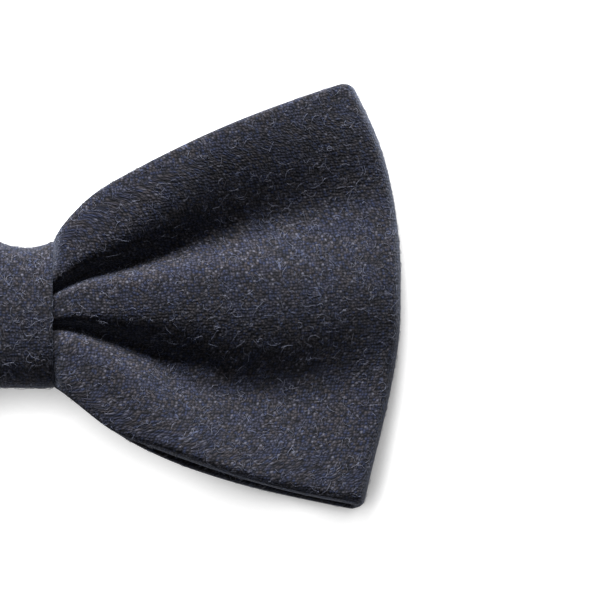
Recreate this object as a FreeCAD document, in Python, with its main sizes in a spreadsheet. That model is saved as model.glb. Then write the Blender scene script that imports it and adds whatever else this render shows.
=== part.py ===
"""Ready-tied clip-on bow tie, in millimetres.

The bow lies on its back: +X runs along the bow to the right as seen from the front, +Y towards
its top edge and +Z out of its front. The origin is the middle of its footprint on the surface
it lies on.

A flat tube of flannel with a stiff interlining inside is folded into a loop at both wing ends,
so that each wing has a front and a rear layer and the tube's two ends meet at the centre back.
The waist is pleated into three ridges, wound with thread and wrapped by the knot band, which
also traps the bar of a sprung double collar clip.
"""

import FreeCAD
import Part
import Sketcher
import math
import os

V = FreeCAD.Vector
doc = FreeCAD.newDocument("bow_tie")

# ---------------------------------------------------------------- driving dimensions

sheet = doc.addObject("Spreadsheet::Sheet", "Sizes")
SIZES = [
    ("bow_width", 120.0, "wing to wing"),
    ("bow_height", 68.0, "top corner of the front layer to bottom corner of the rear layer"),
    ("widest_level", -5.2, "height at which the wings reach furthest"),
    ("top_inset", 8.2, "how far the top corner stands in from the widest point"),
    ("bottom_inset", 6.6, "how far the bottom corner stands in from the widest point"),
    ("top_flare", 0.56, "exponent of the top edge's curve"),
    ("bottom_flare", 0.46, "exponent of the bottom edge's curve"),
    ("rear_shift", 1.6, "how much lower the rear layer hangs than the front one"),
    ("waist_level", -2.8, "height of the waist's middle"),
    ("waist_half", 9.6, "half the height of the gathered waist"),
    ("flannel", 0.6, "one ply of flannel"),
    ("stiffener", 0.4, "interlining"),
    ("slack", 0.1, "room on each side of the interlining"),
    ("waist_pleat", 1.1, "half the depth of the pleats at the knot"),
    ("full_pleat", 2.3, "half the depth of the pleats where they are deepest"),
    ("edge_pleat", 0.8, "half the depth of the pleats at the wing's end"),
    ("pleat_peak", 0.4, "share of the wing at which the pleats are deepest"),
    ("belly", 1.4, "how far the front layer puffs out"),
    ("shoulder", 0.2, "share of the wing at which the front layer starts to fall"),
    ("rear_clear", 1.5, "how far past the clip bar the rear layer stays level"),
    ("rear_run", 22.0, "length over which the rear layer falls to the ground"),
    ("hang_run", 0.3, "share of the wing over which the rear layer comes to hang lower"),
    ("knot_share", 0.1, "share of the tube's straight stretches that lies inside the knot"),
    ("waist_gap", 1.1, "room between the two layers at the waist"),
    ("fold_thickness", 6.8, "thickness of the wing at its folded end"),
    ("end_gap", 0.8, "room between the tube's two ends"),
    ("thread", 0.4, "thread diameter"),
    ("thread_turns", 7, "turns of thread round the waist"),
    ("thread_pitch", 0.7, "distance from one turn to the next"),
    ("thread_bend", 0.5, "radius of the thread at the waist's corners"),
    ("thread_lift", 0.05, "room between a stitch and the cloth under it"),
    ("whip_reach", 1.2, "half the length of a stitch across the tube's ends"),
    ("tack_reach", 0.6, "half the length of a stitch behind the knot"),
    ("tacks", 6, "stitches behind the knot"),
    ("stack_gap", 0.1, "room between parts that lie on each other"),
    ("knot_width", 8.2, "width of the knot"),
    ("knot_wall", 1.5, "thickness of the knot band"),
    ("knot_bend", 0.8, "inner radius of the band's corners"),
    ("knot_round", 0.6, "rounding of the band's side edges"),
    ("knot_recess", 0.5, "depth of the recess for the band's interlining"),
    ("knot_turning", 1.0, "flannel turned in beside that interlining"),
    ("bar_length", 50.0, "clip bar, end to end"),
    ("bar_width", 9.5, "clip bar, edge to edge"),
    ("bar_sheet", 0.6, "sheet thickness of the clip bar"),
    ("bar_neck", 6.0, "width of the bar inside the knot"),
    ("bar_round", 2.0, "corner radius of the bar"),
    ("hinge_offset", 14.0, "hinge axis from the centre"),
    ("hinge_level", 2.6, "hinge axis above the ground"),
    ("hinge_room", 1.6, "hinge axis below the bar"),
    ("ear_length", 5.0, "length of the ears bent from the bar"),
    ("ear_drop", 1.2, "ears below the hinge axis"),
    ("pin_radius", 0.6, "hinge pin"),
    ("pin_head", 1.0, "radius of the pin's heads"),
    ("head_thickness", 0.35, "thickness of the pin's heads"),
    ("pin_fit", 0.05, "running clearance of the pin"),
    ("side_gap", 0.15, "room between the lever and the ears"),
    ("lever_sheet", 0.5, "sheet thickness of the levers"),
    ("tab_lift", 0.3, "closed thumb tab above the ground, so that the bow rests on its wings"),
    ("tab_reach", 7.5, "thumb tab's end from the hinge axis"),
    ("tab_flat", 4.5, "length of the flat thumb tab"),
    ("jaw_reach", 10.0, "jaw's tip from the hinge axis"),
    ("lip", 1.3, "length and height of the jaw's turned-up lip"),
    ("tip_gap", 0.05, "room between the closed jaw and the bar"),
    ("cheek_half", 1.0, "half the length of the lever's cheeks at the pin"),
    ("cheek_foot", 1.6, "half the length of the cheeks at the lever's plate"),
    ("tab_round", 1.5, "corner radius of the thumb tab"),
    ("tooth_pitch", 1.6, "distance from one tooth to the next"),
    ("tooth_depth", 0.6, "depth of the notches between the teeth"),
    ("teeth", 5, "notches along the jaw"),
    ("wire", 0.4, "spring wire"),
    ("coil_radius", 0.95, "mean radius of the spring's coil"),
    ("coil_turns", 4, "whole turns of the spring"),
    ("coil_pitch", 0.5, "distance from one turn of the spring to the next"),
    ("leg", 4.6, "length of the spring's legs"),
]
for row, (alias, value, note) in enumerate(SIZES, start=1):
    sheet.set(f"A{row}", note)
    sheet.set(f"B{row}", str(value))
    sheet.setAlias(f"B{row}", alias)
doc.recompute()

# ---------------------------------------------------------------- levels that follow from them

levels = doc.addObject("App::VarSet", "Levels")
LEVELS = [
    ("layer", "2 * Sizes.flannel + Sizes.stiffener + 2 * Sizes.slack"),
    ("bar_under", "Sizes.hinge_level + Sizes.hinge_room"),
    ("knot_back", "Levels.bar_under - Sizes.stack_gap"),
    ("wrap_back", "Levels.bar_under + Sizes.bar_sheet + Sizes.stack_gap + Sizes.thread / 2"),
    ("rear_waist", "Levels.wrap_back + Sizes.thread / 2 + Sizes.stack_gap + Levels.layer / 2"),
    ("front_waist", "Levels.rear_waist + Levels.layer + Sizes.waist_gap + Sizes.waist_pleat"),
    ("wrap_front", "Levels.front_waist + Sizes.waist_pleat + Levels.layer / 2 + Sizes.stack_gap"
                   " + Sizes.thread / 2"),
    ("wrap_half", "Sizes.waist_half + Sizes.stack_gap + Sizes.thread / 2"),
    ("knot_front", "Levels.wrap_front + Sizes.thread / 2 + Sizes.stack_gap"),
    ("knot_half", "Levels.wrap_half + Sizes.thread / 2 + Sizes.stack_gap"),
    ("knot_mid", "(Levels.knot_front + Levels.knot_back) / 2"),
    ("knot_depth", "(Levels.knot_front - Levels.knot_back) / 2"),
    ("lever_half", "Sizes.bar_width / 2 - Sizes.bar_sheet - Sizes.side_gap"),
    ("pin_half", "Sizes.bar_width / 2 + Sizes.pin_fit + Sizes.head_thickness"),
]
for name, formula in LEVELS:
    levels.addProperty("App::PropertyFloat", name, "Levels")
    levels.setExpression(name, formula)
    doc.recompute()


def size(name):
    """A driving dimension, as a number."""
    return float(sheet.get(name))


def level(name):
    """A worked-out level, as a number."""
    return float(getattr(levels, name))


# ---------------------------------------------------------------- drawing helpers

subparts = []


def new_body(label, x="0", y="0", z="0", turn=0):
    """An empty body placed at the given formulas and turned about +Z."""
    body = doc.addObject("PartDesign::Body", label)
    body.Label = label
    body.Placement = FreeCAD.Placement(V(0, 0, 0), FreeCAD.Rotation(V(0, 0, 1), turn))
    for axis, formula in zip("xyz", (x, y, z)):
        body.setExpression(f"Placement.Base.{axis}", formula)
    subparts.append(body)
    return body


def new_sketch(body, role, offset="0"):
    """A sketch on one of the body's origin planes, moved along the plane's normal."""
    plane = [f for f in body.Origin.OriginFeatures if f.Role == role][0]
    sketch = body.newObject("Sketcher::SketchObject", f"{body.Label}_sketch")
    sketch.AttachmentSupport = [(plane, "")]
    sketch.MapMode = "FlatFace"
    sketch.setExpression("AttachmentOffset.Base.z", offset)
    return sketch


def pin_point(sketch, geometry, point, across, up):
    """Ties a point of the sketch to two formulas."""
    for kind, formula in (("DistanceX", across), ("DistanceY", up)):
        number = sketch.addConstraint(Sketcher.Constraint(kind, -1, 1, geometry, point, 1.0))
        sketch.setExpression(f"Constraints[{number}]", formula)


def draw_outline(sketch, corners):
    """A closed outline of straight lines whose corners are formulas."""
    count = len(corners)
    first = sketch.GeometryCount
    for i in range(count):
        ahead = (i + 1) % count
        here = V(math.cos(2 * math.pi * i / count), math.sin(2 * math.pi * i / count), 0)
        there = V(math.cos(2 * math.pi * ahead / count), math.sin(2 * math.pi * ahead / count), 0)
        sketch.addGeometry(Part.LineSegment(here, there), False)
    for i in range(count):
        following = first + (i + 1) % count
        sketch.addConstraint(Sketcher.Constraint("Coincident", first + i, 2, following, 1))
    for i, (across, up) in enumerate(corners):
        pin_point(sketch, first + i, 1, across, up)


def draw_rectangle(sketch, half_across, half_up):
    """A rectangle centred on the sketch's origin."""
    signs = ((-1, -1), (1, -1), (1, 1), (-1, 1))
    draw_outline(sketch, [(f"{a} * ({half_across})", f"{b} * ({half_up})") for a, b in signs])


def draw_circle(sketch, radius, across="0", up="0"):
    """A circle whose radius and centre are formulas."""
    number = sketch.addGeometry(Part.Circle(V(0, 0, 0), V(0, 0, 1), 1.0), False)
    rule = sketch.addConstraint(Sketcher.Constraint("Radius", number, 1.0))
    sketch.setExpression(f"Constraints[{rule}]", radius)
    pin_point(sketch, number, 3, across, up)


def pad(body, sketch, length, both_ways=True, backwards=False):
    """Thickens a sketch."""
    feature = body.newObject("PartDesign::Pad", f"{body.Label}_pad")
    feature.Profile = sketch
    feature.setExpression("Length", length)
    feature.Midplane = both_ways
    feature.Reversed = backwards
    doc.recompute()
    return feature


def pocket(body, sketch, length):
    """Cuts a sketch out of the body, the same distance each way, and checks that it cuts."""
    before = body.Shape.Volume
    feature = body.newObject("PartDesign::Pocket", f"{body.Label}_pocket")
    feature.Profile = sketch
    feature.setExpression("Length", length)
    feature.Midplane = True
    doc.recompute()
    if body.Shape.Volume >= before:
        raise RuntimeError(f"a pocket cuts nothing in {body.Label}")
    return feature


def round_edges(body, radius, wanted):
    """Fillets the edges of the body's latest feature that the test accepts."""
    tip = body.Tip
    names = [f"Edge{i}" for i, edge in enumerate(tip.Shape.Edges, start=1) if wanted(edge)]
    feature = body.newObject("PartDesign::Fillet", f"{body.Label}_fillet")
    feature.Base = (tip, names)
    feature.setExpression("Radius", radius)
    doc.recompute()
    return feature


def runs_along(edge, axis):
    """True for a straight edge that lies along the axis."""
    ends = edge.Vertexes
    if len(ends) != 2 or edge.Curve.TypeId != "Part::GeomLine":
        return False
    return abs((ends[1].Point - ends[0].Point).normalize().dot(axis)) > 0.999


def add_shape(label, shape):
    """A sub-part whose shape is worked out here."""
    feature = doc.addObject("Part::Feature", label)
    feature.Label = label
    feature.Shape = shape
    subparts.append(feature)
    return feature


# ---------------------------------------------------------------- the flannel loop


def smooth(t):
    """Rises from 0 to 1 with level ends."""
    t = min(max(t, 0.0), 1.0)
    return t * t * (3 - 2 * t)


def blend(low, high, t):
    """The value a share t of the way from low to high."""
    return low + (high - low) * t


LAYER = level("layer")
KNOT_SIDE = size("knot_width") / 2
KNOT_SHARE = size("knot_share")
FOLD_RADIUS = (size("fold_thickness") - LAYER) / 2
REAR_END = LAYER / 2
FRONT_END = REAR_END + 2 * FOLD_RADIUS


def wing_end(v):
    """Reach of the fold's centre line at v, from -1 at the bottom edge to 1 at the top."""
    widest = size("widest_level") / (size("bow_height") / 2)
    if v > widest:
        inset = size("top_inset") * ((v - widest) / (1 - widest)) ** 2
    else:
        inset = size("bottom_inset") * ((widest - v) / (1 + widest)) ** 2
    return size("bow_width") / 2 - inset - FOLD_RADIUS - LAYER / 2


def edge_heights(x):
    """Bottom and top of the wing at x."""
    half = size("bow_height") / 2
    top_waist = size("waist_level") + size("waist_half")
    bottom_waist = size("waist_level") - size("waist_half")
    t_top = max(x - KNOT_SIDE, 0) / (wing_end(1) - KNOT_SIDE)
    t_bottom = max(x - KNOT_SIDE, 0) / (wing_end(-1) - KNOT_SIDE)
    top = blend(top_waist, half, t_top ** size("top_flare"))
    bottom = blend(bottom_waist, size("rear_shift") - half, t_bottom ** size("bottom_flare"))
    return bottom, top


def height_at(x, v):
    """Height of the tube's line v at x."""
    bottom, top = edge_heights(x)
    return (bottom + top) / 2 + v * (top - bottom) / 2


def pleat_depth(share):
    """Half the depth of the pleats at a share of the wing's length."""
    peak = size("pleat_peak")
    if share < peak:
        return blend(size("waist_pleat"), size("full_pleat"), smooth(share / peak))
    return blend(size("full_pleat"), size("edge_pleat"), smooth((share - peak) / (1 - peak)))


def front_level(share, v):
    """How far forward the front layer stands."""
    start = size("shoulder")
    drop = (level("front_waist") - FRONT_END) * smooth((share - start) / (1 - start))
    puff = size("belly") * math.sin(math.pi * share)
    return level("front_waist") - drop + puff + pleat_depth(share) * math.cos(3 * math.pi * v)


def rear_level(x):
    """How far forward the rear layer stands."""
    free = size("bar_length") / 2 + size("rear_clear")
    return blend(level("rear_waist"), REAR_END, smooth((x - free) / size("rear_run")))


def middle(path, v):
    """Point on the tube's middle surface. path runs 0 to 1 along the front layer from the waist
    to the wing's end, 1 to 2 round the fold and 2 to 3 back along the rear layer. The ends of the
    straight stretches lie inside the knot."""
    end = wing_end(v)
    if 1 < path < 2:
        angle = math.pi * (path - 1.5)
        ripple = pleat_depth(1) * math.cos(3 * math.pi * v) * (1 - math.sin(angle)) / 2
        x = end + FOLD_RADIUS * math.cos(angle)
        z = REAR_END + FOLD_RADIUS - FOLD_RADIUS * math.sin(angle) + ripple
        return V(x, height_at(end, v) - size("rear_shift") * smooth(path - 1), z)
    along = path if path <= 1 else 3 - path
    share = max((along - KNOT_SHARE) / (1 - KNOT_SHARE), 0)
    x = blend(KNOT_SIDE, end, share) if along > KNOT_SHARE else KNOT_SIDE * along / KNOT_SHARE
    if path <= 1:
        return V(x, height_at(x, v), front_level(share, v))
    hang = size("rear_shift") * smooth(share / size("hang_run"))
    return V(x, height_at(x, v) - hang, rear_level(x))


def outward(path, v):
    """Unit normal of the middle surface, towards the outside of the loop."""
    step = 0.002
    if path < step or path > 3 - step:
        along = V(1, 0, 0) if path < 1 else V(-1, 0, 0)
    else:
        along = middle(path + step, v) - middle(path - step, v)
    low = max(v - step, -1)
    high = min(v + step, 1)
    up = middle(path, high) - middle(path, low)
    return along.cross(up).normalize()


def section(path, half, edge_margin, side):
    """Closed outline across the tube: half is half its thickness, edge_margin how far its edges
    stand in, and side is 1 for the right wing and -1 for the left one."""
    point = middle(path, 0)
    bottom, top = edge_heights(point.x)
    reach = 1 - edge_margin / ((top - bottom) / 2)
    steps = [reach * i / 6 for i in range(-6, 7)]
    faces = []
    for away in (half, -half):
        points = [middle(path, v) + outward(path, v) * away for v in steps]
        faces.append([V(side * p.x, p.y, p.z) for p in points])
    outer, inner = faces
    curves = []
    for row in (outer, inner[::-1]):
        curve = Part.BSplineCurve()
        curve.interpolate(row)
        curves.append(curve.toShape())
    ends = [Part.makeLine(outer[-1], inner[-1]), Part.makeLine(inner[0], outer[0])]
    return Part.Wire([curves[0], ends[0], curves[1], ends[1]])


FRONT_STATIONS = [0, KNOT_SHARE, 0.15, 0.22, 0.34, 0.5, 0.66, 0.82, 0.95]
FOLD_STATIONS = [1.0, 1.25, 1.5, 1.75, 2.0]
REAR_STATIONS = [2.05, 2.2, 2.4, 2.6, 2.75, 2.85, 3 - KNOT_SHARE]


def tube(half, edge_margin, end_gap):
    """Solid along the whole loop, from the tube's right end round to its left end."""
    last = 3 - KNOT_SHARE * (end_gap / 2) / KNOT_SIDE
    path = FRONT_STATIONS + FOLD_STATIONS + REAR_STATIONS + [last]
    sections = [section(p, half, edge_margin, 1) for p in reversed(path)]
    sections += [section(p, half, edge_margin, -1) for p in path[1:]]
    return Part.makeLoft(sections, True, True)


end_gap = size("end_gap")
hollow_half = size("stiffener") / 2 + size("slack")
cloth = tube(LAYER / 2, 0, end_gap)
hollow = tube(hollow_half, size("flannel"), end_gap / 2)
add_shape("bow_shell", cloth.cut(hollow))
stiffener_margin = size("flannel") + size("slack")
add_shape("bow_interlining", tube(size("stiffener") / 2, stiffener_margin, 2 * end_gap))

# ---------------------------------------------------------------- threads


def stitch(start, end):
    """A short straight thread with rounded ends."""
    radius = size("thread") / 2
    along = end - start
    rod = Part.makeCylinder(radius, along.Length, start, along)
    caps = [Part.makeSphere(radius, start), Part.makeSphere(radius, end)]
    return rod.multiFuse(caps).removeSplitter()


def thread_turn(x):
    """One turn of thread round the waist, in the plane at x."""
    bend = size("thread_bend")
    half = level("wrap_half")
    low = level("wrap_back")
    high = level("wrap_front")
    mid = size("waist_level")
    edges = []
    corners = [(half - bend, high - bend, 0), (-half + bend, high - bend, 90),
               (-half + bend, low + bend, 180), (half - bend, low + bend, 270)]
    for y, z, start in corners:
        arc_points = []
        for angle in (start, start + 45, start + 90):
            turned = math.radians(angle)
            arc_points.append(V(x, mid + y + bend * math.cos(turned), z + bend * math.sin(turned)))
        edges.append(Part.Arc(*arc_points).toShape())
    for i in range(4):
        here = edges[i].lastVertex(True).Point
        there = edges[(i + 1) % 4].firstVertex(True).Point
        edges.append(Part.makeLine(here, there))
    path = Part.Wire(Part.__sortEdges__(edges))
    start = path.Edges[0].valueAt(path.Edges[0].FirstParameter)
    heading = path.Edges[0].tangentAt(path.Edges[0].FirstParameter)
    circle = Part.Wire(Part.makeCircle(size("thread") / 2, start, heading))
    return path.makePipeShell([circle], True, True)


turns = int(size("thread_turns"))
offsets = [size("thread_pitch") * (i - (turns - 1) / 2) for i in range(turns)]
add_shape("gather_thread", Part.makeCompound([thread_turn(x) for x in offsets]))

waist_level = size("waist_level")
whip_level = level("rear_waist") + LAYER / 2 + size("thread_lift") + size("thread") / 2
whip_reach = size("whip_reach")
end_stitches = []
for i in range(-2, 3):
    y = waist_level + i * size("waist_half") / 3
    end_stitches.append(stitch(V(-whip_reach, y, whip_level), V(whip_reach, y, whip_level)))
add_shape("bow_end_stitches", Part.makeCompound(end_stitches))

seam_level = level("knot_back") - size("knot_wall") - size("thread_lift") - size("thread") / 2
tacks = int(size("tacks"))
tack_reach = size("tack_reach")
back_stitches = []
for i in range(tacks):
    x = (i - (tacks - 1) / 2) * size("knot_width") / (tacks + 1)
    start = V(x, waist_level - tack_reach, seam_level)
    back_stitches.append(stitch(start, V(x, waist_level + tack_reach, seam_level)))
add_shape("knot_back_stitches", Part.makeCompound(back_stitches))

# ---------------------------------------------------------------- the knot


def runs_across(edge):
    """True for an edge along the bow."""
    return runs_along(edge, V(1, 0, 0))


def frames_side(edge):
    """True for the outer edges of the band's two side faces."""
    box = edge.BoundBox
    thin = box.XLength < 0.001 and abs(abs(box.Center.x) - KNOT_SIDE) < 0.001
    outer_y = max(abs(box.YMin), abs(box.YMax)) > level("knot_half") + size("knot_wall") / 2
    outer_z = max(abs(box.ZMin), abs(box.ZMax)) > level("knot_depth") + size("knot_wall") / 2
    return thin and (outer_y or outer_z)


knot = new_body("knot_band", y="Sizes.waist_level", z="Levels.knot_mid")
profile = new_sketch(knot, "YZ_Plane")
draw_rectangle(profile, "Levels.knot_half + Sizes.knot_wall", "Levels.knot_depth + Sizes.knot_wall")
pad(knot, profile, "Sizes.knot_width")
round_edges(knot, "Sizes.knot_bend + Sizes.knot_wall", runs_across)
round_edges(knot, "Sizes.knot_round", frames_side)
opening = new_sketch(knot, "YZ_Plane")
draw_rectangle(opening, "Levels.knot_half", "Levels.knot_depth")
pocket(knot, opening, "2 * Sizes.knot_width")


def lines_opening(edge):
    """True for the corner edges of the band's opening."""
    return runs_across(edge) and abs(abs(edge.CenterOfMass.y) - level("knot_half")) < 0.01


round_edges(knot, "Sizes.knot_bend", lines_opening)
recess = new_sketch(knot, "YZ_Plane")
draw_rectangle(recess, "Levels.knot_half + Sizes.knot_recess", "Levels.knot_depth + Sizes.knot_recess")
pocket(knot, recess, "Sizes.knot_width - 2 * Sizes.knot_turning")

lining = new_body("knot_interlining", y="Sizes.waist_level", z="Levels.knot_mid")
strip = new_sketch(lining, "YZ_Plane")
strip_outer = "Sizes.knot_recess - Sizes.slack / 2"
strip_inner = "Sizes.knot_recess - Sizes.slack / 2 - Sizes.stiffener"
draw_rectangle(strip, f"Levels.knot_half + {strip_outer}", f"Levels.knot_depth + {strip_outer}")
draw_rectangle(strip, f"Levels.knot_half + {strip_inner}", f"Levels.knot_depth + {strip_inner}")
pad(lining, strip, "Sizes.knot_width - 2 * Sizes.knot_turning - 2 * Sizes.slack")

# ---------------------------------------------------------------- the collar clip

bar = new_body("clip_bar", y="Sizes.waist_level", z="Levels.bar_under")
plate = new_sketch(bar, "XY_Plane")
tip_x = "Sizes.bar_length / 2"
neck_x = "(Sizes.knot_width / 2 + 2 * Sizes.stack_gap)"
wide_y = "Sizes.bar_width / 2"
neck_y = "Sizes.bar_neck / 2"
quarter = [(tip_x, wide_y), (neck_x, wide_y), (neck_x, neck_y)]
left_top = [(f"-{a}", b) for a, b in reversed(quarter)]
left_bottom = [(f"-{a}", f"-{b}") for a, b in quarter]
right_bottom = [(a, f"-{b}") for a, b in reversed(quarter)]
draw_outline(plate, quarter + left_top + left_bottom + right_bottom)
pad(bar, plate, "Sizes.bar_sheet", both_ways=False)


def bar_corner(edge):
    """True for the upright edges at the bar's ends."""
    return runs_along(edge, V(0, 0, 1)) and abs(edge.CenterOfMass.x) > size("bar_length") / 2 - 0.01


round_edges(bar, "Sizes.bar_round", bar_corner)
for side in (1, -1):
    for face in (1, -1):
        ear = new_sketch(bar, "XZ_Plane", f"{face} * Sizes.bar_width / 2")
        near = f"{side} * (Sizes.hinge_offset - Sizes.ear_length / 2)"
        far = f"{side} * (Sizes.hinge_offset + Sizes.ear_length / 2)"
        tip_near = f"{side} * (Sizes.hinge_offset - Sizes.ear_length / 4)"
        tip_far = f"{side} * (Sizes.hinge_offset + Sizes.ear_length / 4)"
        root = "Sizes.bar_sheet / 2"
        foot = "-Sizes.hinge_room - Sizes.ear_drop"
        draw_outline(ear, [(near, root), (near, "-Sizes.hinge_room"), (tip_near, foot),
                           (tip_far, foot), (far, "-Sizes.hinge_room"), (far, root)])
        pad(bar, ear, "Sizes.bar_sheet", both_ways=False, backwards=face > 0)
pin_holes = new_sketch(bar, "XZ_Plane")
for side in (1, -1):
    draw_circle(pin_holes, "Sizes.pin_radius + Sizes.pin_fit / 2", f"{side} * Sizes.hinge_offset",
                "-Sizes.hinge_room")
pocket(bar, pin_holes, "2 * Sizes.bar_width")


def make_lever(label, side):
    """Toothed jaw, cheeks and thumb tab of one lever, drawn about its hinge axis."""
    lever = new_body(label, f"{side} * Sizes.hinge_offset", "Sizes.waist_level",
                     "Sizes.hinge_level", turn=0 if side > 0 else 180)
    tab_under = "Sizes.tab_lift - Sizes.hinge_level"
    tab_top = f"{tab_under} + Sizes.lever_sheet"
    tab_end = "-Sizes.tab_reach"
    bend = "-Sizes.tab_reach + Sizes.tab_flat"
    lip_foot = "Sizes.jaw_reach - Sizes.lip"
    lip_base = "Sizes.hinge_room - Sizes.tip_gap - Sizes.lip"
    tip = "Sizes.hinge_room - Sizes.tip_gap"
    profile = new_sketch(lever, "XZ_Plane")
    draw_outline(profile, [(tab_end, tab_under), (bend, tab_under),
                           (lip_foot, f"{lip_base} - Sizes.lever_sheet"),
                           ("Sizes.jaw_reach", f"{lip_base} - Sizes.lever_sheet / 4"),
                           ("Sizes.jaw_reach", tip),
                           ("Sizes.jaw_reach - Sizes.lever_sheet", tip),
                           ("Sizes.jaw_reach - Sizes.lever_sheet",
                            f"{lip_base} + Sizes.lever_sheet / 2"),
                           (lip_foot, lip_base), (bend, tab_top), (tab_end, tab_top)])
    pad(lever, profile, "2 * Levels.lever_half")

    def tab_corner(edge):
        """True for the upright edges at the thumb tab's end."""
        return runs_along(edge, V(0, 0, 1)) and edge.CenterOfMass.x < 0.01 - size("tab_reach")

    round_edges(lever, "Sizes.tab_round", tab_corner)
    for face in (1, -1):
        cheek = new_sketch(lever, "XZ_Plane", f"{face} * Levels.lever_half")
        slope = f"({lip_base} - Sizes.lever_sheet - ({tab_under}))"
        slope += " / (Sizes.jaw_reach - Sizes.lip + Sizes.tab_reach - Sizes.tab_flat)"
        rise = f"({slope} * (Sizes.tab_reach - Sizes.tab_flat)"
        foot = f"{rise} + {tab_under} + Sizes.lever_sheet / 2)"
        spread = "Sizes.cheek_foot"
        draw_outline(cheek, [(f"-{spread}", f"{foot} - {slope} * {spread}"),
                             (spread, f"{foot} + {slope} * {spread}"),
                             ("Sizes.cheek_half", "Sizes.cheek_half"),
                             ("-Sizes.cheek_half", "Sizes.cheek_half")])
        pad(lever, cheek, "Sizes.lever_sheet", both_ways=False, backwards=face > 0)
    hole = new_sketch(lever, "XZ_Plane")
    draw_circle(hole, "Sizes.pin_radius + Sizes.pin_fit")
    pocket(lever, hole, "2 * Sizes.bar_width")
    notch = new_sketch(lever, "YZ_Plane", "Sizes.jaw_reach - Sizes.lever_sheet / 2")
    first = "-Sizes.tooth_pitch * (Sizes.teeth - 1) / 2"
    draw_outline(notch, [(f"{first} - Sizes.tooth_pitch / 3", f"{tip} + Sizes.tip_gap"),
                         (first, f"{tip} - Sizes.tooth_depth"),
                         (f"{first} + Sizes.tooth_pitch / 3", f"{tip} + Sizes.tip_gap")])
    cut = pocket(lever, notch, "2 * Sizes.lever_sheet")
    row = lever.newObject("PartDesign::LinearPattern", f"{label}_teeth")
    row.Originals = [cut]
    row.Direction = (notch, ["H_Axis"])
    row.setExpression("Length", "Sizes.tooth_pitch * (Sizes.teeth - 1)")
    row.setExpression("Occurrences", "Sizes.teeth")
    lever.Tip = row
    doc.recompute()


def make_pin(label, side):
    """Headed hinge pin through the ears and the lever's cheeks."""
    pin = new_body(label, f"{side} * Sizes.hinge_offset", "Sizes.waist_level", "Sizes.hinge_level")
    profile = new_sketch(pin, "XY_Plane")
    inner = "Levels.pin_half - Sizes.head_thickness"
    draw_outline(profile, [("0", "-Levels.pin_half"), ("Sizes.pin_head", "-Levels.pin_half"),
                           ("Sizes.pin_head", f"-({inner})"), ("Sizes.pin_radius", f"-({inner})"),
                           ("Sizes.pin_radius", inner), ("Sizes.pin_head", inner),
                           ("Sizes.pin_head", "Levels.pin_half"), ("0", "Levels.pin_half")])
    turned = pin.newObject("PartDesign::Revolution", f"{label}_turned")
    turned.Profile = profile
    turned.ReferenceAxis = (profile, ["V_Axis"])
    turned.Angle = 360
    doc.recompute()


def make_spring(label, side):
    """Torsion spring about the pin, both legs on the thumb tab's side."""
    radius = size("coil_radius")
    turn_count = size("coil_turns") + 0.5
    rise = size("coil_pitch") * turn_count
    helix = Part.makeHelix(size("coil_pitch"), rise, radius)
    edge = helix.Edges[0]
    start = edge.valueAt(edge.FirstParameter)
    end = edge.valueAt(edge.LastParameter)
    start_heading = edge.tangentAt(edge.FirstParameter)
    end_heading = edge.tangentAt(edge.LastParameter)
    first_leg = Part.makeLine(start - start_heading * size("leg"), start)
    last_leg = Part.makeLine(end, end + end_heading * size("leg"))
    path = Part.Wire([first_leg] + helix.Edges + [last_leg])
    foot = start - start_heading * size("leg")
    circle = Part.Wire(Part.makeCircle(size("wire") / 2, foot, start_heading))
    shape = path.makePipeShell([circle], True, True)
    spring = add_shape(label, shape)
    hinge = V(side * size("hinge_offset"), size("waist_level"), size("hinge_level"))
    hand_turn = FreeCAD.Placement(hinge, FreeCAD.Rotation(V(0, 0, 1), 0 if side > 0 else 180))
    lay_down = FreeCAD.Placement(V(0, 0, 0), FreeCAD.Rotation(V(1, 0, 0), 90))
    legs_inward = FreeCAD.Placement(V(0, 0, 0), FreeCAD.Rotation(V(0, 0, 1), -90))
    centred = FreeCAD.Placement(V(0, 0, -rise / 2), FreeCAD.Rotation())
    spring.Placement = hand_turn * lay_down * legs_inward * centred


for side, hand in ((1, "right"), (-1, "left")):
    make_lever(f"{hand}_jaw", side)
    make_pin(f"{hand}_hinge_pin", side)
    make_spring(f"{hand}_spring", side)

# ---------------------------------------------------------------- check and write

doc.recompute()
for item in doc.Objects:
    if "Invalid" in item.State or "Error" in item.State:
        raise RuntimeError(f"{item.Label} failed: {item.State}")
for item in subparts:
    if item.Shape.isNull() or not item.Shape.isValid():
        raise RuntimeError(f"{item.Label} has no valid shape")
os.makedirs("parts", exist_ok=True)
for item in subparts:
    item.Shape.exportStep(f"parts/{item.Label}.step")
    box = item.Shape.BoundBox
    print(f"{item.Label}: volume {item.Shape.Volume:.2f}, x {box.XMin:.2f} to {box.XMax:.2f},"
          f" y {box.YMin:.2f} to {box.YMax:.2f}, z {box.ZMin:.2f} to {box.ZMax:.2f}")
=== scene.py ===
# %% [markdown]
# # A ready-tied bow tie in brushed wool flannel
#
# A ready-tied bow is one long tube of flannel with a stiffening cloth inside. The tube is laid in a loop, its
# two ends are whipped together behind the middle, and thread pulls the waist into two deep pleats. A short
# band hides the thread and makes the knot. Behind it a sprung clip holds the collar.
#
# The clip's bar, jaws and pins and the stitches are already the right shape in the frame, so they only need
# finishes. The cloth stands in the frame as plain solids, and this script makes it again as folded cloth. It
# also remakes the gathering thread as one winding, and each spring as a coil and a leg that can swing.

# %% Load the frame and measure it
import math
import random
from functools import lru_cache

import bmesh
import bpy
import numpy as np
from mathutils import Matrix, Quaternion, Vector, noise
from mathutils.bvhtree import BVHTree


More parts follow.
